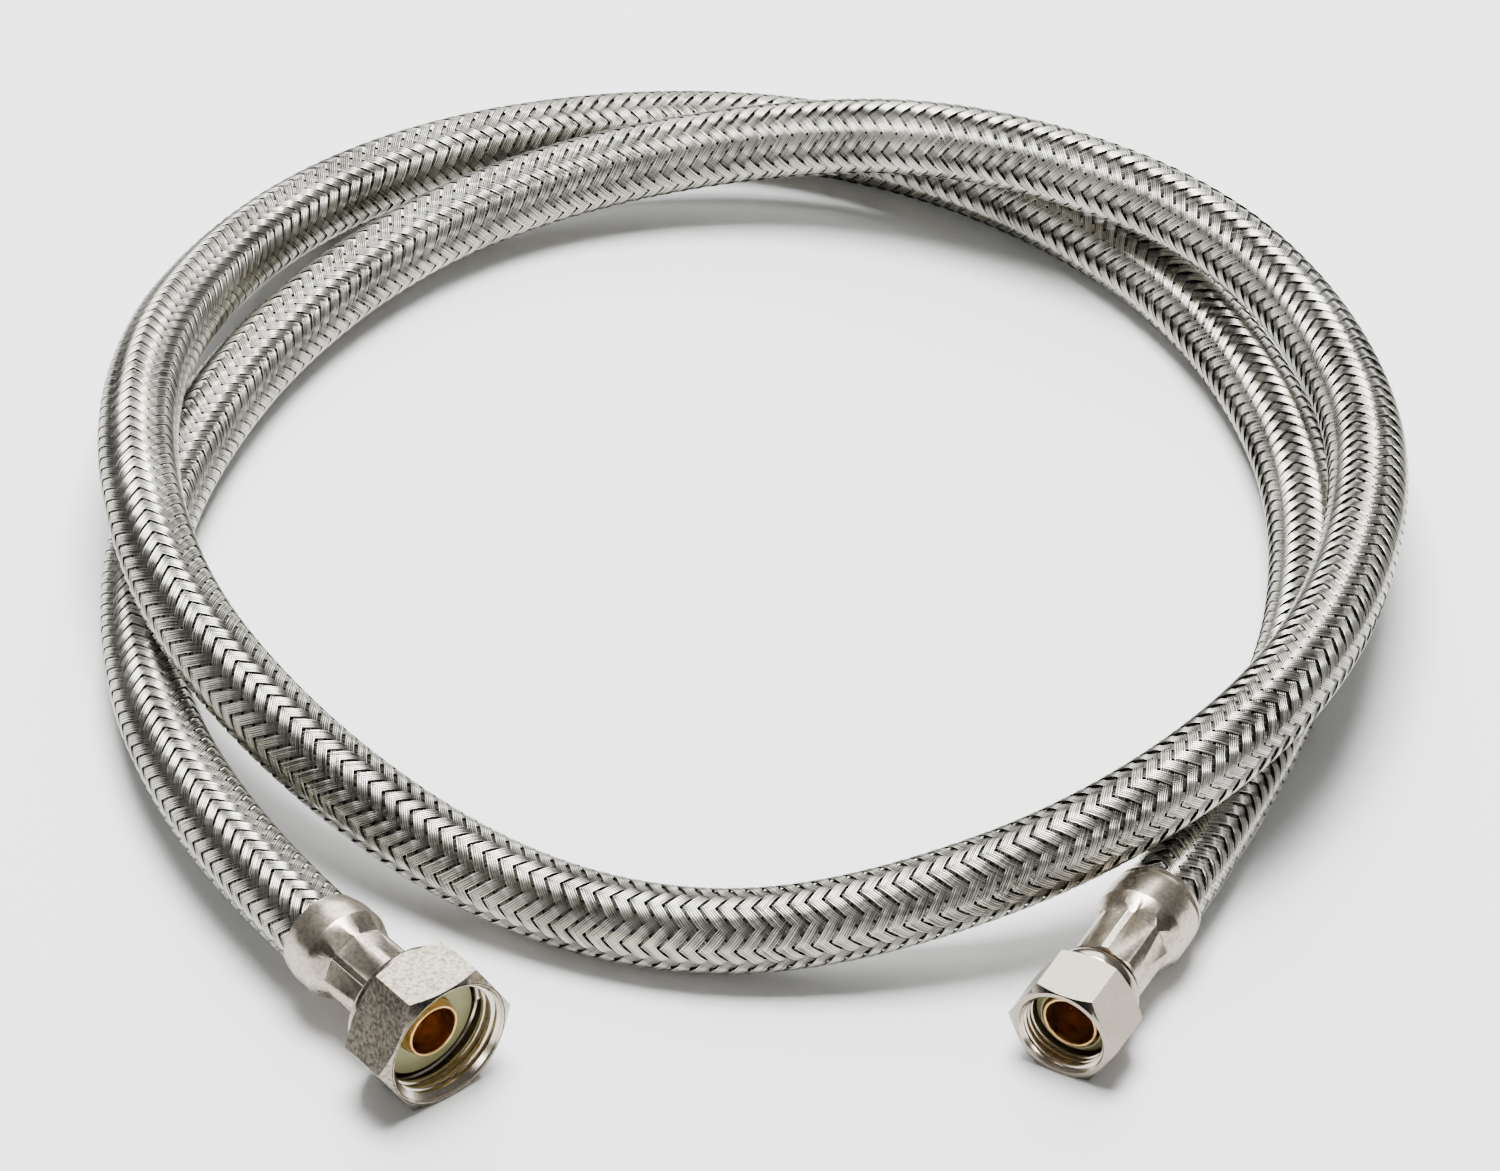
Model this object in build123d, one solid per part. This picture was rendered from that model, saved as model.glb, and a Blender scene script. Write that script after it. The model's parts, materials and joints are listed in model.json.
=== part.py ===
from build123d import *
import os
from math import cos, pi, radians, sin, tan

# Braided water supply line, lying in a loose coil of almost two turns on a flat surface.
# Millimetres, +Z up, the surface at Z = 0, the coil's bounding box centred on X = Y = 0.
# One end has a 1/2 in female pipe swivel nut, the other a 9/16-24 compression swivel nut.

# --- Hose cross-section
HOSE_D = 13.6  # over the wire braid
BRAID_WALL = 0.5
LINER_GAP = 0.1  # between liner and braid
LINER_BORE_R = 4.75  # 3/8 in hose

# --- Crimped ends: the same stem tube is used at both ends
STEM_R = 4.95
STEM_BORE_R = 4.1
STEM_EDGE = 0.25  # break of the nose's outer and inner edges
TAIL_R = 4.0  # root of the barbs
TAIL_BORE_R = 3.4
TAIL_INSET = 1.0  # the tail reaches this far into the bell, past the crimped neck
BARB_HEIGHT = 0.3
BARB_LAND = 0.2
BARB_COUNT = 4
HOSE_STOP = 2.8  # the hose ends this far inside the neck, against the stem's collar
FERRULE_NECK_R = 6.5
FERRULE_RIM_R = 7.15
FERRULE_EDGE = 0.3  # break of the ferrule's turned edges
RIM_TAPER = 1.8  # length of the rim's taper up to the bell
BELL_START = 3.0
SHOULDER_ROUND = 0.6
CRIMP_R = 5.8  # bore of the ferrule's crimped neck

# --- Clearances
PRESS_GAP = 0.05  # between pieces that are squeezed together
END_GAP = 0.1  # between faces that meet end to end
RUNNING_GAP = 0.3  # nut to stem, nut to flange

# --- Nuts
HEX_STEP = 0.2  # the collar runs this far under the hexagon's back chamfer
MOUTH_BEVEL = 0.5  # from the mouth to the first thread
THREAD_RUNOUT = 0.3
WASHER_EDGE = 0.2

# --- Each fitting is measured along its own axis from the ferrule's rim towards the nut's mouth.
# place: rim centre; heading: direction of the mouth in degrees, from +X towards +Y.
LARGE = {
    "name": "large",
    "place": (-67.0, -97.0),
    "heading": -50.7,
    "across_flats": 22.2,  # 7/8 in hexagon
    "bell_r": 7.9,
    "bell_end": 6.3,
    "neck_start": 9.5,
    "neck_end": 19.8,
    "nut_back": 20.3,
    "hex_back": 22.3,
    "mouth": 32.7,
    "collar_r": 10.5,
    "collar_round": 0.8,
    "thread_minor_r": 9.45,  # 1/2 in pipe thread, 14 turns to the inch
    "thread_length": 3.0,
    "relief_r": 10.2,
    "mouth_r": 10.65,
    "web": 3.0,  # thickness of the nut's back wall
    "flange_r": 8.4,
    "flange": 1.6,
    "washer_r": 9.1,
    "washer": 1.5,
    "washer_cone": 0.0,
    "nose_depth": 3.7,  # from the mouth to the end of the stem
}
SMALL = {
    "name": "small",
    "place": (64.5, -86.5),
    "heading": -118.3,
    "across_flats": 16.4,
    "bell_r": 7.75,
    "bell_end": 7.4,
    "neck_start": 10.5,
    "neck_end": 20.2,
    "nut_back": 20.7,
    "hex_back": 24.7,
    "mouth": 34.8,
    "collar_r": 7.3,
    "collar_round": 0.5,
    "thread_minor_r": 6.6,  # 9/16 in thread, 24 turns to the inch
    "thread_length": 2.5,
    "relief_r": 7.0,
    "mouth_r": 7.4,
    "web": 6.4,
    "flange_r": 6.2,
    "flange": 1.5,
    "washer_r": 6.3,
    "washer": 2.3,
    "washer_cone": 1.0,  # how far the washer's face falls back at its rim
    "nose_depth": 3.05,
}

# --- Hose route: the points between the two fittings, from the large end to the small end.
# One and four fifths turns, seen from above clockwise: low past the large nut, up over its other
# turn at the back, down the right side on top of it, flat across the front, over the first turn
# on the left, and low round the back to the small nut.
FLOOR = HOSE_D / 2
ROUTE = [
    (-104, -4, 7.5),
    (-91, 46, FLOOR),
    (-66, 83, 8),
    (-35, 104, 9.5),
    (4, 109, 15),
    (39, 100, 21.5),
    (77, 78, 22),
    (98, 48, 19),
    (105, 4, 21.5),
    (91, -51, 26),
    (58, -83, 20.5),
    (18, -93, 10),
    (-12, -93, FLOOR),
    (-42, -81, 7.5),
    (-73, -59, 16.5),
    (-97, -25, 23.5),
    (-105, 31, 21),
    (-89, 85, 10),
    (-59, 114, FLOOR),
    (-20, 124, FLOOR),
    (18, 120, FLOOR),
    (54, 99, FLOOR),
    (82, 65, FLOOR),
    (96, 15, FLOOR),
]
LARGE_LEAD = 38.0  # straight lead out of each ferrule, from its rim
SMALL_LEAD = 48.0
FILLET_SHARE = 0.45  # of the shorter run beside each bend


def fitting_plane(end):
    """Local Z runs from the ferrule's rim to the nut's mouth, and local Y is up."""
    a = radians(end["heading"])
    x, y = end["place"]
    return Plane(
        origin=(x, y, end["across_flats"] / 2),
        x_dir=(-sin(a), cos(a), 0),
        z_dir=(cos(a), sin(a), 0),
    )


def along(end, distance):
    """The point on a fitting's axis at a distance from its rim."""
    return fitting_plane(end).from_local_coords((0, 0, distance))


def turned(profile):
    """A solid of revolution about local Z from (radius, distance) corners."""
    outline = Plane.XZ * make_face(Polyline(*profile, close=True))
    return revolve(outline, Axis.Z)


def hose_path():
    """Straight runs joined by tangent arcs, from inside one ferrule to inside the other."""
    points = [along(LARGE, LARGE["bell_end"]), along(LARGE, -LARGE_LEAD)]
    points += [Vector(*p) for p in ROUTE]
    points += [along(SMALL, -SMALL_LEAD), along(SMALL, SMALL["bell_end"])]
    radii = []
    for before, here, after in zip(points, points[1:], points[2:]):
        run_in, run_out = here - before, after - here
        turn = radians(run_in.get_angle(run_out))
        shorter = min(run_in.length, run_out.length)
        radii.append(FILLET_SHARE * shorter / tan(turn / 2))
    print("bend radii:", [round(r) for r in radii])
    print("runs:", [round((b - a).length) for a, b in zip(points, points[1:])])
    return FilletPolyline(*points, radius=radii)


def swept_wall(path, outer_r, inner_r):
    """A round wall along the hose, with its volume compared with section times length."""
    start = Plane(origin=path @ 0, z_dir=path % 0)
    ring = Circle(outer_r) - Circle(inner_r)
    wall = sweep(start * ring, path=path)
    expected = pi * (outer_r**2 - inner_r**2) * path.length
    print(f"hose {path.length:.0f} mm long, volume over section x length {wall.volume / expected:.4f}")
    return wall


def squeezed_end(end, outer_r, inner_r, crimp_outer, crimp_inner):
    """The last stretch of a hose wall, drawn down inside the ferrule's neck."""
    start, neck, stop = end["bell_end"], end["neck_start"], end["neck_end"] - HOSE_STOP
    profile = [
        (inner_r, start),
        (outer_r, start),
        (crimp_outer, neck),
        (crimp_outer, stop),
        (crimp_inner, stop),
        (crimp_inner, neck),
    ]
    return fitting_plane(end) * turned(profile)


def hose_wall(path, outer_r, inner_r, crimp_outer, crimp_inner):
    wall = swept_wall(path, outer_r, inner_r)
    for end in (LARGE, SMALL):
        wall += squeezed_end(end, outer_r, inner_r, crimp_outer, crimp_inner)
    return wall


def braid_sleeve(path):
    outer_r = HOSE_D / 2
    return hose_wall(path, outer_r, outer_r - BRAID_WALL, CRIMP_R, CRIMP_R - BRAID_WALL)


def inner_tube(path):
    outer_r = HOSE_D / 2 - BRAID_WALL - LINER_GAP
    crimp_outer = CRIMP_R - BRAID_WALL - LINER_GAP
    crimp_inner = TAIL_R + BARB_HEIGHT + PRESS_GAP
    return hose_wall(path, outer_r, LINER_BORE_R, crimp_outer, crimp_inner)


def ferrule(end):
    """Turned bell with a rolled rim, a shoulder, and a neck squeezed on to the hose."""
    bell, bell_end = end["bell_r"], end["bell_end"]
    neck, neck_end = end["neck_start"], end["neck_end"]
    hose_r = HOSE_D / 2 + PRESS_GAP
    profile = [
        (hose_r, 0),
        (FERRULE_RIM_R, 0),
        (FERRULE_RIM_R + FERRULE_EDGE, FERRULE_EDGE),
        (bell - FERRULE_EDGE / 2, RIM_TAPER),
        (bell, BELL_START),
        (bell, bell_end - SHOULDER_ROUND),
        (bell - FERRULE_EDGE, bell_end + SHOULDER_ROUND),
        (FERRULE_NECK_R + FERRULE_EDGE, neck - SHOULDER_ROUND),
        (FERRULE_NECK_R, neck + SHOULDER_ROUND),
        (FERRULE_NECK_R, neck_end - FERRULE_EDGE),
        (FERRULE_NECK_R - FERRULE_EDGE, neck_end),
        (CRIMP_R, neck_end),
        (CRIMP_R, neck),
        (hose_r, bell_end),
    ]
    return fitting_plane(end) * turned(profile)


def flange_back(end):
    """Where the stem's flange starts, just in front of the nut's back wall."""
    return end["nut_back"] + end["web"] + RUNNING_GAP


def stem(end):
    """Brass tube: barbed tail in the hose, collar in the ferrule, flange behind the washer, nose."""
    tail = end["neck_start"] - TAIL_INSET
    hose_stop = end["neck_end"] - HOSE_STOP
    collar_r = CRIMP_R - PRESS_GAP
    collar_end = end["neck_end"] - END_GAP
    flange_front = flange_back(end) + end["flange"]
    nose = end["mouth"] - end["nose_depth"]
    barb_r = TAIL_R + BARB_HEIGHT
    pitch = (hose_stop - tail) / (BARB_COUNT + 0.5)
    profile = [(TAIL_BORE_R, tail), (TAIL_R, tail)]
    for n in range(BARB_COUNT):
        top = tail + (n + 1) * pitch
        profile += [(barb_r, top - BARB_LAND), (barb_r, top), (TAIL_R, top)]
    profile += [
        (TAIL_R, hose_stop + END_GAP),
        (collar_r, hose_stop + END_GAP),
        (collar_r, collar_end),
        (STEM_R, collar_end),
        (STEM_R, flange_back(end)),
        (end["flange_r"], flange_back(end)),
        (end["flange_r"], flange_front),
        (STEM_R, flange_front),
        (STEM_R, nose - STEM_EDGE),
        (STEM_R - STEM_EDGE, nose),
        (STEM_BORE_R + STEM_EDGE, nose),
        (STEM_BORE_R, nose - STEM_EDGE),
        (STEM_BORE_R, end["neck_end"]),
        (TAIL_BORE_R, end["neck_end"] - TAIL_INSET),
    ]
    return fitting_plane(end) * turned(profile)


def washer(end):
    """Sealing washer round the nose, flat at the large end and coned at the small end."""
    back = flange_back(end) + end["flange"] + PRESS_GAP
    front = back + end["washer"]
    rim_front = front - end["washer_cone"]
    bore_r = STEM_R + PRESS_GAP
    profile = [
        (bore_r, back),
        (end["washer_r"], back),
        (end["washer_r"], rim_front - WASHER_EDGE),
        (end["washer_r"] - WASHER_EDGE, rim_front),
        (bore_r + WASHER_EDGE, front),
        (bore_r, front - WASHER_EDGE),
    ]
    return fitting_plane(end) * turned(profile)


def nut(end):
    """Hexagon swivel nut, chamfered at the mouth, with a round collar behind the hexagon."""
    half = end["across_flats"] / 2
    corner = half / cos(pi / 6)
    outside = corner + END_GAP  # just clear of the hexagon's corners
    chamfer = (outside - half) * tan(pi / 6)
    back, hex_back, mouth = end["nut_back"], end["hex_back"], end["mouth"]
    collar, edge = end["collar_r"], end["collar_round"]
    bevel = edge * (1 - sin(pi / 4))  # the collar's round edge as two flats
    blank = extrude(Pos(0, 0, back) * RegularPolygon(half, 6, major_radius=False), mouth - back)
    envelope = turned(
        [
            (0, back),
            (collar - edge, back),
            (collar - bevel, back + bevel),
            (collar, back + edge),
            (collar, hex_back - HEX_STEP),
            (half, hex_back - HEX_STEP),
            (outside, hex_back - HEX_STEP + chamfer),
            (outside, mouth - chamfer),
            (half, mouth),
            (0, mouth),
        ]
    )
    web_front = back + end["web"]
    bore_r = STEM_R + RUNNING_GAP
    thread_end = mouth - MOUTH_BEVEL
    thread_start = thread_end - end["thread_length"]
    cavity = turned(
        [
            (0, back),
            (bore_r, back),
            (bore_r, web_front),
            (end["relief_r"], web_front),
            (end["relief_r"], thread_start - THREAD_RUNOUT),
            (end["thread_minor_r"], thread_start),
            (end["thread_minor_r"], thread_end),
            (end["mouth_r"], mouth),
            (0, mouth),
        ]
    )
    return fitting_plane(end) * ((blank & envelope) - cavity)


os.makedirs("parts", exist_ok=True)
path = hose_path()
nodes = {"inner_tube": inner_tube(path), "braid_sleeve": braid_sleeve(path)}
for fitting in (LARGE, SMALL):
    for make in (ferrule, stem, washer, nut):
        nodes[f"{fitting['name']}_{make.__name__}"] = make(fitting)

for name, solid in nodes.items():
    export_step(solid, f"parts/{name}.step")
whole = Compound(children=list(nodes.values())).bounding_box()
print("lowest corner", whole.min, "highest corner", whole.max)
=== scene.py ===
import json
import math

import bpy
import numpy as np
from mathutils import Matrix, Vector


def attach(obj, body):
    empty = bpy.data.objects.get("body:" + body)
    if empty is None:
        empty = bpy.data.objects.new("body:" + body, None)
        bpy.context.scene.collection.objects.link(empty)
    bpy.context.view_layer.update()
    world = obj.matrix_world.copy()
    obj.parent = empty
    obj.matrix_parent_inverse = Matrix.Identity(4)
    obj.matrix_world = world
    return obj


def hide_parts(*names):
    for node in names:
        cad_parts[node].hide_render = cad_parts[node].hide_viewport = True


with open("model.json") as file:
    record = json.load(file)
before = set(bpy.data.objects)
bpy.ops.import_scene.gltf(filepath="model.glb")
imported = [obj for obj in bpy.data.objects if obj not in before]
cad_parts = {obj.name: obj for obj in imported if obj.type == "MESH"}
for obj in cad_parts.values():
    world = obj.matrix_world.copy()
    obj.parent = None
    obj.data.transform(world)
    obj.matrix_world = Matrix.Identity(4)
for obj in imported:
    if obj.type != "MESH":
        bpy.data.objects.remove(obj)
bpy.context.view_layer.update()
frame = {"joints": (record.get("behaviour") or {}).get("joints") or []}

MM = 0.001

# --- Hose core
# The rubber liner under the braid, dark where it shows through the gaps between the wires. It is one length of
# hose from crimp to crimp, lying loose in almost two turns.
BRAID_R = 6.8 * MM
CORE_R = 6.1 * MM
NUT_BACK = {"large": 20.3 * MM, "small": 20.7 * MM}  # from the ferrule's rim to the back of the nut
HOSE_INSET = {"large": 6.3 * MM, "small": 7.4 * MM}  # how far the hose goes into each ferrule
LEAD = {"large": 38 * MM, "small": 48 * MM}
FLOOR = 0.0068
ROUTE = [
    (-0.104, -0.004, 0.0075),
    (-0.091, 0.046, FLOOR),
    (-0.066, 0.083, 0.008),
    (-0.035, 0.104, 0.0095),
    (0.004, 0.109, 0.015),
    (0.039, 0.100, 0.0215),
    (0.077, 0.078, 0.022),
    (0.098, 0.048, 0.019),
    (0.105, 0.004, 0.0215),
    (0.091, -0.051, 0.026),
    (0.058, -0.083, 0.0205),
    (0.018, -0.093, 0.010),
    (-0.012, -0.093, FLOOR),
    (-0.042, -0.081, 0.0075),
    (-0.073, -0.059, 0.0165),
    (-0.097, -0.025, 0.0235),
    (-0.105, 0.031, 0.021),
    (-0.089, 0.085, 0.010),
    (-0.059, 0.114, FLOOR),
    (-0.020, 0.124, FLOOR),
    (0.018, 0.120, FLOOR),
    (0.054, 0.099, FLOOR),
    (0.082, 0.065, FLOOR),
    (0.096, 0.015, FLOOR),
]


def fitting_matrix(end):
    """Local Z runs from the ferrule's rim to the nut's mouth, and local Y is up."""
    joint = next(j for j in frame["joints"] if j["name"] == f"{end}_nut_spin")
    forward = Vector(joint["axis"]).normalized()
    up = Vector((0, 0, 1))
    rim = Vector(joint["pos_m"]) - forward * NUT_BACK[end]
    turned = Matrix((up.cross(forward), up, forward)).transposed()
    return Matrix.Translation(rim) @ turned.to_4x4()


def on_axis(end, distance):
    return fitting_matrix(end) @ Vector((0, 0, distance))


def hose_curve(name):
    """The hose's centreline: one open NURBS spline through the loose coil."""
    points = [on_axis("large", HOSE_INSET["large"]), on_axis("large", -LEAD["large"])]
    points += [Vector(p) for p in ROUTE]
    points += [on_axis("small", -LEAD["small"]), on_axis("small", HOSE_INSET["small"])]
    data = bpy.data.curves.new(name, "CURVE")
    data.dimensions = "3D"
    spline = data.splines.new("NURBS")
    spline.points.add(len(points) - 1)
    for place, point in zip(spline.points, points):
        place.co = (*point, 1)
    spline.order_u = 3
    spline.use_endpoint_u = True
    spline.resolution_u = 24
    curve = bpy.data.objects.new(name, data)
    bpy.context.scene.collection.objects.link(curve)
    return curve


def shader(name):
    """A new material with its Principled shader and the means to wire nodes."""
    material = bpy.data.materials.new(name)
    material.use_nodes = True
    nodes, links = material.node_tree.nodes, material.node_tree.links
    return material, nodes, links, nodes["Principled BSDF"]


def rubber(name, dark, light, roughness, grain):
    """Moulded or extruded rubber: a faint mottle and a fine grain."""
    material, nodes, links, surface = shader(name)
    place = nodes.new("ShaderNodeTexCoord")
    mottle = nodes.new("ShaderNodeTexNoise")
    mottle.inputs["Scale"].default_value = grain
    mottle.inputs["Detail"].default_value = 4
    links.new(place.outputs["Object"], mottle.inputs["Vector"])
    ramp = nodes.new("ShaderNodeValToRGB")
    ramp.color_ramp.elements[0].color = (*dark, 1)
    ramp.color_ramp.elements[1].color = (*light, 1)
    links.new(mottle.outputs["Fac"], ramp.inputs["Fac"])
    links.new(ramp.outputs["Color"], surface.inputs["Base Color"])
    bump = nodes.new("ShaderNodeBump")
    bump.inputs["Strength"].default_value = 0.15
    bump.inputs["Distance"].default_value = 0.1 * MM
    links.new(mottle.outputs["Fac"], bump.inputs["Height"])
    links.new(bump.outputs["Normal"], surface.inputs["Normal"])
    surface.inputs["Roughness"].default_value = roughness
    return material


core = hose_curve("hose_core")
core.data.bevel_depth = CORE_R
core.data.bevel_resolution = 5
core.data.use_fill_caps = True
core.data.materials.append(rubber("liner_rubber", (0.006, 0.006, 0.005), (0.014, 0.013, 0.011), 0.6, 900))
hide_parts("inner_tube")
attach(core, "hose_line")

# --- Wire braid
# Twenty-four ribbons of fine stainless wire, twelve wound each way round the liner, each passing over
# two ribbons and then under two. They are drawn tight, and both ends are held in the ferrules.
RIBBONS_EACH_WAY = 12
RIBBONS_PER_PIECE = 2
LAY = 34 * MM  # length of hose for one turn of a ribbon
WIRES = 5
WIRE = 0.355 * MM
WIRE_SHOULDER = 0.3 * WIRE
WIRE_TOP = 0.42 * WIRE
WIRE_VALLEY = 0.04 * WIRE
RIBBON_BACK = -0.3 * WIRE
WEAVE_RISE = 0.25 * MM  # half the height between an upper and a lower ribbon
# Where a ribbon rises and falls, over each four crossings: (crossings passed, share of the rise)
WEAVE = [
    (-0.4, 0.3), (0.0, 0.82), (0.5, 1.0), (1.0, 0.82), (1.4, 0.3),
    (1.62, -0.7), (2.5, -1.0), (3.38, -0.7),
]


def centreline():
    """Even points of the route's own spline, with their distance along it."""
    guide = hose_curve("hose_guide")
    guide.data.resolution_u = 64
    bpy.context.view_layer.update()
    line = bpy.data.meshes.new_from_object(guide)
    points = np.array([v.co for v in line.vertices])
    bpy.data.meshes.remove(line)
    bpy.data.objects.remove(guide)
    steps = np.linalg.norm(np.diff(points, axis=0), axis=1)
    return points, np.concatenate([[0], np.cumsum(steps)])


def carried_frames(points):
    """Tangent and two normals at each point, carried along the line without twist."""
    tangents = np.gradient(points, axis=0)
    tangents /= np.linalg.norm(tangents, axis=1)[:, None]
    first = np.cross(tangents[0], (0, 0, 1))
    normals = [first / np.linalg.norm(first)]
    for tangent in tangents[1:]:
        carried = normals[-1] - tangent * (normals[-1] @ tangent)
        normals.append(carried / np.linalg.norm(carried))
    normals = np.array(normals)
    return normals, np.cross(tangents, normals)


def wire_section():
    """Outline across one flat ribbon, (across, out) from its middle: round-topped wires side by side."""
    half = WIRES * WIRE / 2
    outline = [(-half, 0.0)]
    for n in range(WIRES):
        left = -half + n * WIRE
        outline.append((left + 0.2 * WIRE, WIRE_SHOULDER))
        outline.append((left + 0.5 * WIRE, WIRE_TOP))
        outline.append((left + 0.8 * WIRE, WIRE_SHOULDER))
        outline.append((left + WIRE, WIRE_VALLEY))
    outline[-1] = (half, 0.0)
    return np.array(outline + [(half, RIBBON_BACK), (-half, RIBBON_BACK)])


def ribbon(line, number, hand):
    """Vertices, faces, (across, along) values and heights of one ribbon; hand is its winding, 1 or -1."""
    points, along, normals, binormals = line
    section = wire_section()
    across_share = (section[:, 0] / (WIRES * WIRE)) + 0.5
    crossing = LAY / (2 * RIBBONS_EACH_WAY)
    first = 2 * number if hand > 0 else 2 * number + 2
    periods = int(along[-1] / (4 * crossing)) + 3
    stations = np.array([(4 * k + x - first % 4, h) for k in range(periods) for x, h in WEAVE])
    stations = stations[(stations[:, 0] * crossing >= 0) & (stations[:, 0] * crossing <= along[-1])]
    s, height = stations[:, 0] * crossing, stations[:, 1]
    slant = math.atan2(2 * math.pi * BRAID_R, LAY) * hand
    verts = []
    for across, out in section:
        place = s - across * math.sin(slant)
        angle = hand * 2 * math.pi * s / LAY + 2 * math.pi * number / RIBBONS_EACH_WAY
        angle = angle + across * math.cos(slant) / BRAID_R
        radius = BRAID_R - WIRE_TOP - WEAVE_RISE + height * WEAVE_RISE + out
        centre, n1, n2 = (
            np.stack([np.interp(place, along, part[:, k]) for k in range(3)], axis=1)
            for part in (points, normals, binormals)
        )
        direction = n1 * np.cos(angle)[:, None] + n2 * np.sin(angle)[:, None]
        verts.append(centre + direction * radius[:, None])
    verts = np.stack(verts, axis=1)
    rings, sides = verts.shape[:2]
    ring, side = np.meshgrid(np.arange(rings - 1), np.arange(sides), indexing="ij")
    after = (side + 1) % sides
    corners = [ring * sides + side, ring * sides + after, (ring + 1) * sides + after, (ring + 1) * sides + side]
    faces = np.stack(corners, axis=-1).reshape(-1, 4)
    values = np.stack(np.broadcast_arrays(across_share[None, :], s[:, None]), axis=-1).reshape(-1, 2)
    return verts.reshape(-1, 3), faces, values, np.repeat(height, sides)


def braided_steel():
    """Bright drawn wire with fine streaks, painted shade in the valleys between wires, and painted shade where a
    ribbon dives under.
    """
    material, nodes, links, surface = shader("drawn_stainless_wire")
    uv = nodes.new("ShaderNodeUVMap")
    uv.uv_map = "ribbon"
    stretch = nodes.new("ShaderNodeMapping")
    stretch.inputs["Scale"].default_value = (WIRES * 1.3, 60, 1)
    links.new(uv.outputs["UV"], stretch.inputs["Vector"])
    streak = nodes.new("ShaderNodeTexNoise")
    streak.inputs["Scale"].default_value = 1.0
    streak.inputs["Detail"].default_value = 2
    links.new(stretch.outputs["Vector"], streak.inputs["Vector"])
    bright = nodes.new("ShaderNodeValToRGB")
    bright.color_ramp.elements[0].position = 0.36
    bright.color_ramp.elements[0].color = (0.20, 0.192, 0.165, 1)
    bright.color_ramp.elements[1].position = 0.62
    bright.color_ramp.elements[1].color = (0.68, 0.66, 0.575, 1)
    links.new(streak.outputs["Fac"], bright.inputs["Fac"])
    parts = nodes.new("ShaderNodeSeparateXYZ")
    links.new(uv.outputs["UV"], parts.inputs["Vector"])
    # Painted shade: the colour falls almost to black in the valleys between the wires.
    wire_phase = nodes.new("ShaderNodeMath")
    wire_phase.operation = "PINGPONG"
    wire_phase.inputs[1].default_value = 0.5 / WIRES
    links.new(parts.outputs["X"], wire_phase.inputs[0])
    painted_groove_shade = nodes.new("ShaderNodeMapRange")
    painted_groove_shade.inputs["From Max"].default_value = 0.25 / WIRES
    painted_groove_shade.inputs["To Min"].default_value = 0.04
    links.new(wire_phase.outputs["Value"], painted_groove_shade.inputs["Value"])
    # Painted shade: the colour darkens where a ribbon dips under the crossing ribbons.
    height = nodes.new("ShaderNodeAttribute")
    height.attribute_name = "height"
    painted_dive_shade = nodes.new("ShaderNodeMapRange")
    painted_dive_shade.inputs["From Min"].default_value = -0.95
    painted_dive_shade.inputs["From Max"].default_value = 0.35
    painted_dive_shade.inputs["To Min"].default_value = 0.3
    links.new(height.outputs["Fac"], painted_dive_shade.inputs["Value"])
    dark = nodes.new("ShaderNodeMath")
    dark.operation = "MULTIPLY"
    links.new(painted_groove_shade.outputs["Result"], dark.inputs[0])
    links.new(painted_dive_shade.outputs["Result"], dark.inputs[1])
    shade = nodes.new("ShaderNodeMix")
    shade.data_type = "RGBA"
    shade.blend_type = "MULTIPLY"
    shade.inputs["Factor"].default_value = 1
    links.new(bright.outputs["Color"], shade.inputs["A"])
    links.new(dark.outputs["Value"], shade.inputs["B"])
    links.new(shade.outputs["Result"], surface.inputs["Base Color"])
    rough = nodes.new("ShaderNodeMapRange")
    rough.inputs["To Min"].default_value = 0.2
    rough.inputs["To Max"].default_value = 0.38
    links.new(streak.outputs["Fac"], rough.inputs["Value"])
    links.new(rough.outputs["Result"], surface.inputs["Roughness"])
    surface.inputs["Metallic"].default_value = 1.0
    return material


def close_ends(piece):
    """Closes the two cut ends of each ribbon with a face."""
    bpy.ops.object.select_all(action="DESELECT")
    bpy.context.view_layer.objects.active = piece
    piece.select_set(True)
    bpy.ops.object.mode_set(mode="EDIT")
    bpy.ops.mesh.select_mode(type="EDGE")
    bpy.ops.mesh.select_all(action="DESELECT")
    bpy.ops.mesh.select_non_manifold()
    bpy.ops.mesh.fill_holes(sides=0)
    bpy.ops.object.mode_set(mode="OBJECT")


def ribbon_piece(name, strands, material):
    """One mesh of a few ribbons, with the values that the streaks and the painted shade follow."""
    starts = np.cumsum([0] + [len(strand[0]) for strand in strands[:-1]])
    faces = np.concatenate([strand[1] + start for strand, start in zip(strands, starts)])
    verts, values, heights = (np.concatenate([strand[n] for strand in strands]) for n in (0, 2, 3))
    mesh = bpy.data.meshes.new(name)
    mesh.vertices.add(len(verts))
    mesh.vertices.foreach_set("co", verts.astype(np.float32).ravel())
    mesh.loops.add(faces.size)
    mesh.loops.foreach_set("vertex_index", faces.astype(np.int32).ravel())
    mesh.polygons.add(len(faces))
    mesh.polygons.foreach_set("loop_start", np.arange(0, faces.size, 4, dtype=np.int32))
    mesh.update(calc_edges=True)
    mesh.uv_layers.new(name="ribbon").data.foreach_set("uv", values[faces.ravel()].astype(np.float32).ravel())
    mesh.attributes.new("height", "FLOAT", "POINT").data.foreach_set("value", heights.astype(np.float32))
    mesh.shade_smooth()
    mesh.materials.append(material)
    piece = bpy.data.objects.new(name, mesh)
    bpy.context.scene.collection.objects.link(piece)
    close_ends(piece)
    return piece


points, along = centreline()
line = (points, along, *carried_frames(points))
steel = braided_steel()
for hand, side in ((1, "right"), (-1, "left")):
    for start in range(0, RIBBONS_EACH_WAY, RIBBONS_PER_PIECE):
        strands = [ribbon(line, number, hand) for number in range(start, start + RIBBONS_PER_PIECE)]
        piece = ribbon_piece(f"braid_{side}_{start // RIBBONS_PER_PIECE + 1}", strands, steel)
        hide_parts("braid_sleeve")
        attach(piece, "hose_line")

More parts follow.
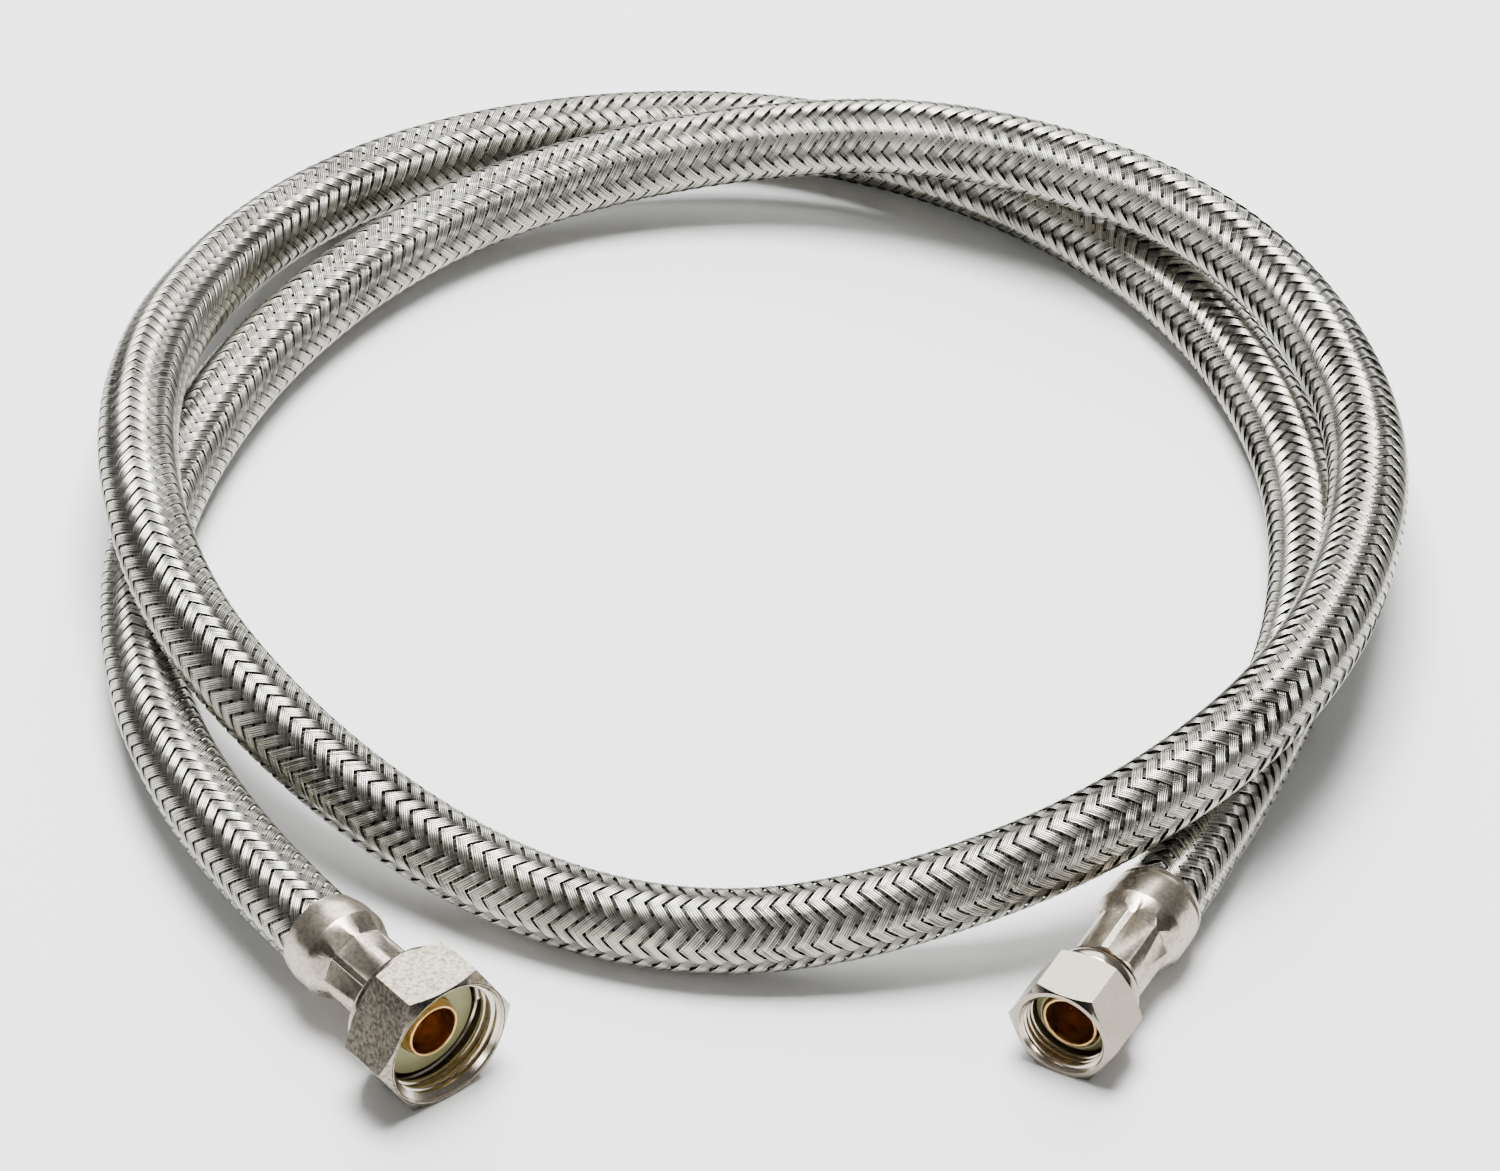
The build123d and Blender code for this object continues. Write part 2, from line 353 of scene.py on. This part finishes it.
# --- Crimped ferrules
# A drawn stainless cup at each end of the hose, nickel plated: a belled mouth that the braid enters, a
# shoulder, and a neck squeezed on to the stem by eight flat jaws, which leave eight flats.
TURN_SIDES = 96
FERRULE = {
    "large": {"bell": 7.9, "bell_end": 6.3, "neck": 9.5, "neck_end": 19.8},
    "small": {"bell": 7.75, "bell_end": 7.4, "neck": 10.5, "neck_end": 20.2},
}
RIM_R = 7.15
RIM_BORE_R = 6.85
NECK_R = 6.5
NECK_BORE_R = 5.8
SHOULDER_R = 1.2  # the round from the bell into the shoulder
THROAT_R = 1.1  # the round from the shoulder into the neck
NICKEL = (0.58, 0.513, 0.412)
JAWS = 8
JAW_FLAT = 6.2  # from the axis to each flat
JAW_LEAD = (1.45, 2.6)  # how far each jaw opens, and over what length, where it meets the shoulder


def turned(name, rings, sides=TURN_SIDES):
    """A ring turned about Z: a circle extruded through (radius, distance) rings in mm, bridged shut."""
    bpy.ops.object.select_all(action="DESELECT")
    radius, distance = rings[0]
    bpy.ops.mesh.primitive_circle_add(vertices=sides, radius=radius * MM)
    piece = bpy.context.object
    piece.name = name
    bpy.ops.object.mode_set(mode="EDIT")
    bpy.ops.mesh.select_mode(type="VERT")
    bpy.ops.mesh.select_all(action="SELECT")
    bpy.ops.transform.translate(value=(0, 0, distance * MM))
    for next_radius, next_distance in rings[1:]:
        step = (next_distance - distance) * MM
        bpy.ops.mesh.extrude_edges_move(TRANSFORM_OT_translate={"value": (0, 0, step)})
        grow = next_radius / radius
        bpy.ops.transform.resize(value=(grow, grow, 1), center_override=(0, 0, next_distance * MM))
        radius, distance = next_radius, next_distance
    bpy.ops.mesh.select_all(action="DESELECT")
    bpy.ops.mesh.select_non_manifold()
    bpy.ops.mesh.bridge_edge_loops()
    bpy.ops.mesh.select_all(action="SELECT")
    bpy.ops.mesh.normals_make_consistent(inside=False)
    bpy.ops.object.mode_set(mode="OBJECT")
    return piece


def rounded(centre, radius, start, end, steps=4):
    """Ring points along an arc, in the (radius, distance) plane, from one angle in degrees to another."""
    angles = [math.radians(start + (end - start) * n / steps) for n in range(steps + 1)]
    return [(centre[0] + radius * math.cos(a), centre[1] + radius * math.sin(a)) for a in angles]


def combine(piece, tool, operation):
    """Applies a Boolean of piece with tool, and removes the tool."""
    bpy.ops.object.select_all(action="DESELECT")
    bpy.context.view_layer.objects.active = piece
    piece.select_set(True)
    cut = piece.modifiers.new("combine", "BOOLEAN")
    cut.object = tool
    cut.operation = operation
    cut.solver = "EXACT"
    bpy.ops.object.modifier_apply(modifier=cut.name)
    bpy.data.objects.remove(tool)


def soften(piece, width, angle=30, beyond=0.0, segments=2):
    """Breaks the sharp edges that lie further from the axis than a distance, and smooths the rest."""
    bpy.ops.object.select_all(action="DESELECT")
    bpy.context.view_layer.objects.active = piece
    piece.select_set(True)
    bpy.ops.object.mode_set(mode="EDIT")
    bpy.ops.mesh.select_mode(type="EDGE")
    bpy.ops.mesh.select_all(action="DESELECT")
    bpy.ops.mesh.edges_select_sharp(sharpness=math.radians(angle))
    bpy.ops.object.mode_set(mode="OBJECT")
    places = [vertex.co.xy.length for vertex in piece.data.vertices]
    for edge in piece.data.edges:
        edge.select = edge.select and min(places[v] for v in edge.vertices) > beyond
    bpy.ops.object.mode_set(mode="EDIT")
    bpy.ops.mesh.bevel(offset=width, segments=segments, affect="EDGES", clamp_overlap=True)
    bpy.ops.object.mode_set(mode="OBJECT")
    bpy.ops.object.shade_smooth_by_angle(angle=math.radians(30))
    even = piece.modifiers.new("even_flats", "WEIGHTED_NORMAL")
    even.keep_sharp = True
    even.weight = 100
    bpy.ops.object.modifier_apply(modifier=even.name)


def put_in_place(piece, end):
    """Moves a finished piece from its own axis to its fitting's, with its place in its mesh."""
    bpy.ops.object.select_all(action="DESELECT")
    bpy.context.view_layer.objects.active = piece
    piece.select_set(True)
    piece.matrix_world = fitting_matrix(end)
    bpy.ops.object.transform_apply(location=True, rotation=True, scale=True)


def nickel(name, bright, grain, speckle, pits, dents, roughness):
    """Satin nickel plate over a worked surface: a fine grain with darker specks, and shallow dents."""
    material, nodes, links, surface = shader(name)
    place = nodes.new("ShaderNodeTexCoord")
    fine = nodes.new("ShaderNodeTexNoise")
    fine.inputs["Scale"].default_value = grain
    fine.inputs["Detail"].default_value = 3
    broad = nodes.new("ShaderNodeTexNoise")
    broad.inputs["Scale"].default_value = 220
    links.new(place.outputs["Object"], fine.inputs["Vector"])
    links.new(place.outputs["Object"], broad.inputs["Vector"])
    tint = nodes.new("ShaderNodeValToRGB")
    tint.color_ramp.elements[0].position = 0.36
    tint.color_ramp.elements[0].color = (*(c * bright * (1 - speckle) for c in NICKEL), 1)
    tint.color_ramp.elements[1].position = 0.6
    tint.color_ramp.elements[1].color = (*(c * bright for c in NICKEL), 1)
    links.new(fine.outputs["Fac"], tint.inputs["Fac"])
    links.new(tint.outputs["Color"], surface.inputs["Base Color"])
    rough = nodes.new("ShaderNodeMapRange")
    rough.inputs["To Min"].default_value = roughness - 0.08
    rough.inputs["To Max"].default_value = roughness + 0.08
    links.new(broad.outputs["Fac"], rough.inputs["Value"])
    links.new(rough.outputs["Result"], surface.inputs["Roughness"])
    bump = nodes.new("ShaderNodeBump")
    bump.inputs["Strength"].default_value = pits
    bump.inputs["Distance"].default_value = 0.03 * MM
    links.new(fine.outputs["Fac"], bump.inputs["Height"])
    uneven = nodes.new("ShaderNodeBump")
    uneven.inputs["Strength"].default_value = dents
    uneven.inputs["Distance"].default_value = 0.4 * MM
    links.new(broad.outputs["Fac"], uneven.inputs["Height"])
    links.new(bump.outputs["Normal"], uneven.inputs["Normal"])
    links.new(uneven.outputs["Normal"], surface.inputs["Normal"])
    surface.inputs["Metallic"].default_value = 1.0
    return material


def crimp_jaws(neck, neck_end):
    """Eight-sided ring whose inner flats press the neck, and open out where they meet the shoulder."""
    opening, lead = JAW_LEAD
    flat, back = JAW_FLAT / math.cos(math.pi / JAWS), (JAW_FLAT + opening) / math.cos(math.pi / JAWS)
    return turned("jaws", [(back, neck - lead), (flat, neck), (flat, neck_end), (10, neck_end), (10, neck - lead)], JAWS)


def shoulder(bell, bell_end, neck):
    """Rings of the round out of the bell and the round into the neck, with a straight taper between."""
    start, end = Vector((bell - SHOULDER_R, bell_end - 0.4)), Vector((NECK_R + THROAT_R, neck + 0.3))
    run = end - start
    turn = math.degrees(math.atan2(run.y, run.x) - math.acos((SHOULDER_R + THROAT_R) / run.length))
    return rounded(start, SHOULDER_R, 0, turn) + rounded(end, THROAT_R, 180 + turn, 180)


ferrule_nickel = nickel("ferrule_nickel", 0.8, 1500, 0.3, 0.15, 0.35, 0.29)
for end, size in FERRULE.items():
    bell, bell_end, neck, neck_end = (size[k] for k in ("bell", "bell_end", "neck", "neck_end"))
    rings = [(RIM_BORE_R, 0.1), (RIM_BORE_R + 0.1, 0)]
    rings += rounded((RIM_R, 0.25), 0.25, -90, 0)
    rings += [(RIM_R + 0.3, 0.6), (RIM_R + 0.45, 1.2), (bell - 0.15, 2.0), (bell, 3.0)]
    rings += shoulder(bell, bell_end, neck)
    rings += [(NECK_R, neck_end - 0.3), (NECK_R - 0.3, neck_end), (NECK_BORE_R, neck_end)]
    rings += [(NECK_BORE_R, neck), (RIM_BORE_R, bell_end)]
    ferrule = turned(f"{end}_crimped_ferrule", rings)
    combine(ferrule, crimp_jaws(neck, neck_end + 1), "DIFFERENCE")
    soften(ferrule, 0.35 * MM, 14, segments=4)
    put_in_place(ferrule, end)
    ferrule.data.materials.append(ferrule_nickel)
    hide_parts(f"{end}_ferrule")
    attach(ferrule, "hose_line")

# --- Stems
# Turned brass tubes. A barbed tail holds the hose inside the ferrule, a flange behind the washer holds
# the nut, and the nose stands proud of the washer with a thin rounded lip round its bore.
STEM = {
    "large": {"tail": 8.5, "hose_stop": 17.1, "collar_end": 19.7, "flange": (23.6, 25.2, 8.4), "nose": 29.0},
    "small": {"tail": 9.5, "hose_stop": 17.5, "collar_end": 20.1, "flange": (27.4, 28.9, 6.2), "nose": 31.75},
}
STEM_R = 4.95
STEM_BORE_R = 4.1
STEM_COLLAR_R = 5.75
TAIL_R = 4.0
TAIL_BORE_R = 3.4
BARB_R = 4.3
BARBS = 4
LIP_R = 0.28


def turned_brass():
    """Machined brass: fine tool marks, a little tarnish."""
    material, nodes, links, surface = shader("turned_brass")
    place = nodes.new("ShaderNodeTexCoord")
    tarnish = nodes.new("ShaderNodeTexNoise")
    tarnish.inputs["Scale"].default_value = 600
    tarnish.inputs["Detail"].default_value = 4
    links.new(place.outputs["Object"], tarnish.inputs["Vector"])
    tint = nodes.new("ShaderNodeValToRGB")
    tint.color_ramp.elements[0].position = 0.3
    tint.color_ramp.elements[0].color = (0.55, 0.30, 0.09, 1)
    tint.color_ramp.elements[1].position = 0.7
    tint.color_ramp.elements[1].color = (0.80, 0.53, 0.22, 1)
    links.new(tarnish.outputs["Fac"], tint.inputs["Fac"])
    links.new(tint.outputs["Color"], surface.inputs["Base Color"])
    rough = nodes.new("ShaderNodeMapRange")
    rough.inputs["To Min"].default_value = 0.22
    rough.inputs["To Max"].default_value = 0.38
    links.new(tarnish.outputs["Fac"], rough.inputs["Value"])
    links.new(rough.outputs["Result"], surface.inputs["Roughness"])
    surface.inputs["Metallic"].default_value = 1.0
    return material


brass = turned_brass()
for end, size in STEM.items():
    tail, stop, collar_end, nose = (size[k] for k in ("tail", "hose_stop", "collar_end", "nose"))
    flange_back, flange_front, flange_r = size["flange"]
    step = (stop - tail) / (BARBS + 0.5)
    rings = [(TAIL_BORE_R, tail), (TAIL_R, tail)]
    for n in range(1, BARBS + 1):
        rings += [(BARB_R, tail + n * step - 0.2), (BARB_R, tail + n * step), (TAIL_R, tail + n * step)]
    rings += [(TAIL_R, stop), (STEM_COLLAR_R, stop), (STEM_COLLAR_R, collar_end), (STEM_R, collar_end)]
    rings += [(STEM_R, flange_back), (flange_r, flange_back), (flange_r, flange_front), (STEM_R, flange_front)]
    rings += [(STEM_R, nose - 1.6), (STEM_BORE_R + 2 * LIP_R, nose - 0.6)]
    rings += rounded((STEM_BORE_R + LIP_R, nose - LIP_R), LIP_R, 0, 180, 8)
    rings += [(STEM_BORE_R, collar_end), (TAIL_BORE_R, collar_end - 1)]
    stem = turned(f"{end}_brass_stem", rings)
    soften(stem, 0.05 * MM, 40)
    put_in_place(stem, end)
    stem.data.materials.append(brass)
    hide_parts(f"{end}_stem")
    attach(stem, "hose_line")

# --- Washers
# Moulded olive rubber seals round the stems' noses: a flat one at the large end, and a coned one at the small
# end, which seats in a valve's cone. The small one's colour is darker, painted shade for its place deep in the
# nut.
WASHER = {
    "large": {"back": 25.25, "thickness": 1.5, "radius": 9.1, "cone": 0.0},
    "small": {"back": 28.95, "thickness": 2.3, "radius": 6.5, "cone": 1.0},
}
WASHER_BORE_R = 5.0
WASHER_EDGE = 0.25
washer_rubber = {
    "large": rubber("olive_rubber", (0.30, 0.29, 0.13), (0.37, 0.355, 0.18), 0.42, 700),
    # Painted shade: the small seal is the same olive rubber, coloured darker for the shade inside the small nut.
    "small": rubber("olive_rubber_painted_shade", (0.24, 0.23, 0.11), (0.31, 0.29, 0.15), 0.4, 700),
}
for end, size in WASHER.items():
    back, front, radius = size["back"], size["back"] + size["thickness"], size["radius"]
    rim_front = front - size["cone"]
    rings = [(WASHER_BORE_R, back), (radius - 0.1, back), (radius, back + 0.1)]
    rings += rounded((radius - WASHER_EDGE, rim_front - WASHER_EDGE), WASHER_EDGE, 0, 90)
    rings += rounded((WASHER_BORE_R + WASHER_EDGE, front - WASHER_EDGE), WASHER_EDGE, 90, 180)
    washer = turned(f"{end}_seal", rings)
    soften(washer, 0.03 * MM, 50)
    put_in_place(washer, end)
    washer.data.materials.append(washer_rubber[end])
    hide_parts(f"{end}_washer")
    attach(washer, "hose_line")

# --- Swivel nuts
# Nickel-plated brass, machined from hexagon bar: chamfered at both ends, with a round collar behind
# and a real right-hand thread inside. Each hangs on its stem's flange and spins freely.
NUT = {
    "large": {
        "flats": 22.2, "hex_back": 22.3, "mouth": 32.7, "collar": 10.5, "collar_round": 0.8,
        "minor": 9.45, "major": 10.42, "pitch": 1.814, "relief": 10.2, "mouth_r": 10.65,
        "web": 3.0, "thread_end": 27.0, "finish": (0.62, 1500, 0.55, 0.5, 0.0, 0.2),
    },
    "small": {
        "flats": 16.4, "hex_back": 24.7, "mouth": 34.8, "collar": 7.4, "collar_round": 1.9,
        "minor": 6.6, "major": 7.15, "pitch": 1.058, "relief": 7.0, "mouth_r": 7.4,
        "web": 6.4, "thread_end": 30.6, "finish": (0.56, 1600, 0.1, 0.04, 0.04, 0.18),
    },
}
NUT_BORE_R = 5.25
CORNER_CLEAR = 0.1
FACE_INSET = 0.15  # from the flats in to the edge of each end face
HEX_STEP = 0.2
MOUTH_BEVEL = 0.3
THREAD_ROOT = 0.3  # how far the ridge is sunk in the nut's wall
THREAD_STEPS = 72  # per turn
CREST = 0.42  # crest's share of the ridge's width at its root
CREST_ROUND = 0.14  # as a share of the pitch


def select_only(piece, keep):
    """In edit mode, selects the vertices whose place passes a test."""
    bpy.ops.mesh.select_all(action="DESELECT")
    bpy.ops.object.mode_set(mode="OBJECT")
    for vertex in piece.data.vertices:
        vertex.select = keep(vertex.co)
    bpy.ops.object.mode_set(mode="EDIT")


def thread_ridge(size):
    """One helical ridge, from just above the washer to the mouth's bevel, where it runs out."""
    minor, major, pitch = size["minor"], size["major"] + THREAD_ROOT, size["pitch"]
    turns = (size["mouth"] + pitch - size["thread_end"]) / pitch
    bpy.ops.object.select_all(action="DESELECT")
    middle = (minor + major) / 2 * MM
    bpy.ops.mesh.primitive_plane_add(size=1, location=(0, 0, 0))
    ridge = bpy.context.object
    bpy.ops.object.mode_set(mode="EDIT")
    bpy.ops.mesh.select_mode(type="VERT")
    bpy.ops.mesh.select_all(action="SELECT")
    bpy.ops.transform.resize(value=((major - minor) * MM, pitch * 0.96 * MM, 1), center_override=(0, 0, 0))
    bpy.ops.transform.rotate(value=math.pi / 2, orient_axis="X", center_override=(0, 0, 0))
    bpy.ops.transform.translate(value=(middle, 0, size["thread_end"] * MM))
    select_only(ridge, lambda co: co.x < middle)
    bpy.ops.transform.resize(value=(1, 1, CREST), center_override=(0, 0, size["thread_end"] * MM))
    bpy.ops.mesh.bevel(offset=CREST_ROUND * pitch * MM, segments=2, affect="VERTICES")
    bpy.ops.mesh.select_all(action="SELECT")
    bpy.ops.mesh.delete(type="ONLY_FACE")
    bpy.ops.object.mode_set(mode="OBJECT")
    screw = ridge.modifiers.new("wind", "SCREW")
    screw.angle = 2 * math.pi * turns
    screw.screw_offset = pitch * turns * MM
    screw.steps = screw.render_steps = round(THREAD_STEPS * turns)
    screw.use_merge_vertices = False
    bpy.ops.object.modifier_apply(modifier=screw.name)
    bpy.ops.object.mode_set(mode="EDIT")
    bpy.ops.mesh.select_all(action="SELECT")
    bpy.ops.mesh.fill_holes(sides=0)
    bpy.ops.mesh.select_all(action="SELECT")
    bpy.ops.mesh.normals_make_consistent(inside=False)
    bpy.ops.object.mode_set(mode="OBJECT")
    inside, outside = minor - 0.5, major + 0.5
    low, mouth_line = size["thread_end"] - 0.4, size["mouth"] - MOUTH_BEVEL - 0.1 - size["major"]
    kept = [(inside, low), (outside, low), (outside, mouth_line + outside), (inside, mouth_line + inside)]
    combine(ridge, turned("thread_limit", kept), "INTERSECT")
    return ridge


# Painted light: the thread inside the nut has the same nickel plate, coloured brighter than the outside to stand
# for light in the thread.
thread_nickel_painted_light = nickel("thread_nickel_painted_light", 1.15, 1200, 0.15, 0.03, 0.0, 0.22)
for end, size in NUT.items():
    half = size["flats"] / 2
    corner = half / math.cos(math.pi / 6)
    outside = corner + CORNER_CLEAR
    end_face = half - FACE_INSET
    chamfer = (outside - end_face) * math.tan(math.pi / 6)
    back, mouth, web_front = NUT_BACK[end] / MM, size["mouth"], NUT_BACK[end] / MM + size["web"]
    collar, edge, hex_back = size["collar"], size["collar_round"], size["hex_back"] - HEX_STEP
    rings = [(NUT_BORE_R, back)]
    rings += rounded((collar - edge, back + edge), edge, -90, 0)
    rings += rounded((collar - edge, hex_back - edge * math.sin(math.pi / 4)), edge, 0, 45)
    rings += [(end_face, hex_back), (outside, hex_back + chamfer)]
    rings += [(outside, mouth - chamfer), (end_face, mouth), (size["mouth_r"], mouth)]
    rings += [(size["major"], mouth - MOUTH_BEVEL), (size["major"], size["thread_end"] - 0.6)]
    rings += [(size["relief"], size["thread_end"] - 0.9), (size["relief"], web_front), (NUT_BORE_R, web_front)]
    bpy.ops.object.select_all(action="DESELECT")
    middle, depth = (back + mouth) / 2 * MM, (mouth - back + 2) * MM
    bpy.ops.mesh.primitive_cylinder_add(vertices=6, radius=corner * MM, depth=depth, location=(0, 0, 0))
    nut = bpy.context.object
    nut.name = f"{end}_swivel_nut"
    bpy.ops.object.mode_set(mode="EDIT")
    bpy.ops.mesh.select_all(action="SELECT")
    bpy.ops.transform.rotate(value=math.pi / 6, orient_axis="Z", center_override=(0, 0, 0))
    bpy.ops.transform.translate(value=(0, 0, middle))
    bpy.ops.object.mode_set(mode="OBJECT")
    combine(nut, turned("nut_turning", rings), "INTERSECT")
    combine(nut, thread_ridge(size), "UNION")
    soften(nut, 0.1 * MM, beyond=(size["mouth_r"] + 0.1) * MM)
    nut.data.materials.clear()
    nut.data.materials.append(nickel(f"{end}_nut_nickel", *size["finish"]))
    nut.data.materials.append(thread_nickel_painted_light)
    for face in nut.data.polygons:
        face.material_index = int(face.center.xy.length < size["mouth_r"] * MM and face.center.z > web_front * MM)
    put_in_place(nut, end)
    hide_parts(f"{end}_nut")
    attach(nut, f"{end}_swivel")

# --- Floor, light and camera
# A plain pale floor, a soft overhead light, a broad one behind, a weak one in front, and a long lens.
bpy.ops.object.select_all(action="DESELECT")
bpy.ops.mesh.primitive_plane_add(size=6)
floor = bpy.context.object
floor.name = "floor"
floor_material, _, _, floor_surface = shader("pale_paper")
floor_surface.inputs["Base Color"].default_value = (0.9, 0.9, 0.9, 1)
floor_surface.inputs["Roughness"].default_value = 0.9
floor.data.materials.append(floor_material)


def soft_light(name, place, aim, size, power):
    """A square soft box pointing at a place."""
    lamp = bpy.data.lights.new(name, "AREA")
    lamp.size = size
    lamp.energy = power
    holder = bpy.data.objects.new(name, lamp)
    holder.location = place
    holder.rotation_euler = (Vector(aim) - Vector(place)).to_track_quat("-Z", "Y").to_euler()
    bpy.context.scene.collection.objects.link(holder)


soft_light("overhead", (0.0, 0.15, 1.3), (0, 0, 0), 0.65, 56)
soft_light("back", (0.0, 1.45, 1.3), (0, 0, 0), 1.3, 36)
soft_light("front", (0.25, -1.6, 0.55), (0, 0, 0), 0.35, 5)

# The room is dark in front and at the sides, and lighter overhead and behind, for the metal to reflect.
LIGHT_SIDE = (0, 0.55, 0.835)
world = bpy.data.worlds.new("studio")
bpy.context.scene.world = world
world.use_nodes = True
sky, wires = world.node_tree.nodes, world.node_tree.links
looking = sky.new("ShaderNodeTexCoord")
heading = sky.new("ShaderNodeVectorMath")
heading.operation = "DOT_PRODUCT"
heading.inputs[1].default_value = LIGHT_SIDE
wires.new(looking.outputs["Generated"], heading.inputs[0])
glow = sky.new("ShaderNodeValToRGB")
glow.color_ramp.elements[0].color = (0.02, 0.02, 0.019, 1)
glow.color_ramp.elements[0].position = 0.05
glow.color_ramp.elements[1].color = (0.40, 0.41, 0.42, 1)
glow.color_ramp.elements[1].position = 0.95
wires.new(heading.outputs["Value"], glow.inputs["Fac"])
wires.new(glow.outputs["Color"], sky["Background"].inputs["Color"])
sky["Background"].inputs["Strength"].default_value = 1.0

CAMERA_ELEVATION = math.radians(39.51)
CAMERA_DISTANCE = 1.2588
CAMERA_AIM = Vector((0, 0.002, 0))
LENS = 180.43  # mm, on a 36 mm sensor
back = Vector((0, -math.cos(CAMERA_ELEVATION), math.sin(CAMERA_ELEVATION)))
camera_data = bpy.data.cameras.new("camera")
camera_data.lens = LENS
camera_data.sensor_width = 36
camera_data.clip_end = 20
camera = bpy.data.objects.new("camera", camera_data)
camera.location = CAMERA_AIM + back * CAMERA_DISTANCE
camera.rotation_euler = (-back).to_track_quat("-Z", "Y").to_euler()
bpy.context.scene.collection.objects.link(camera)
bpy.context.scene.camera = camera
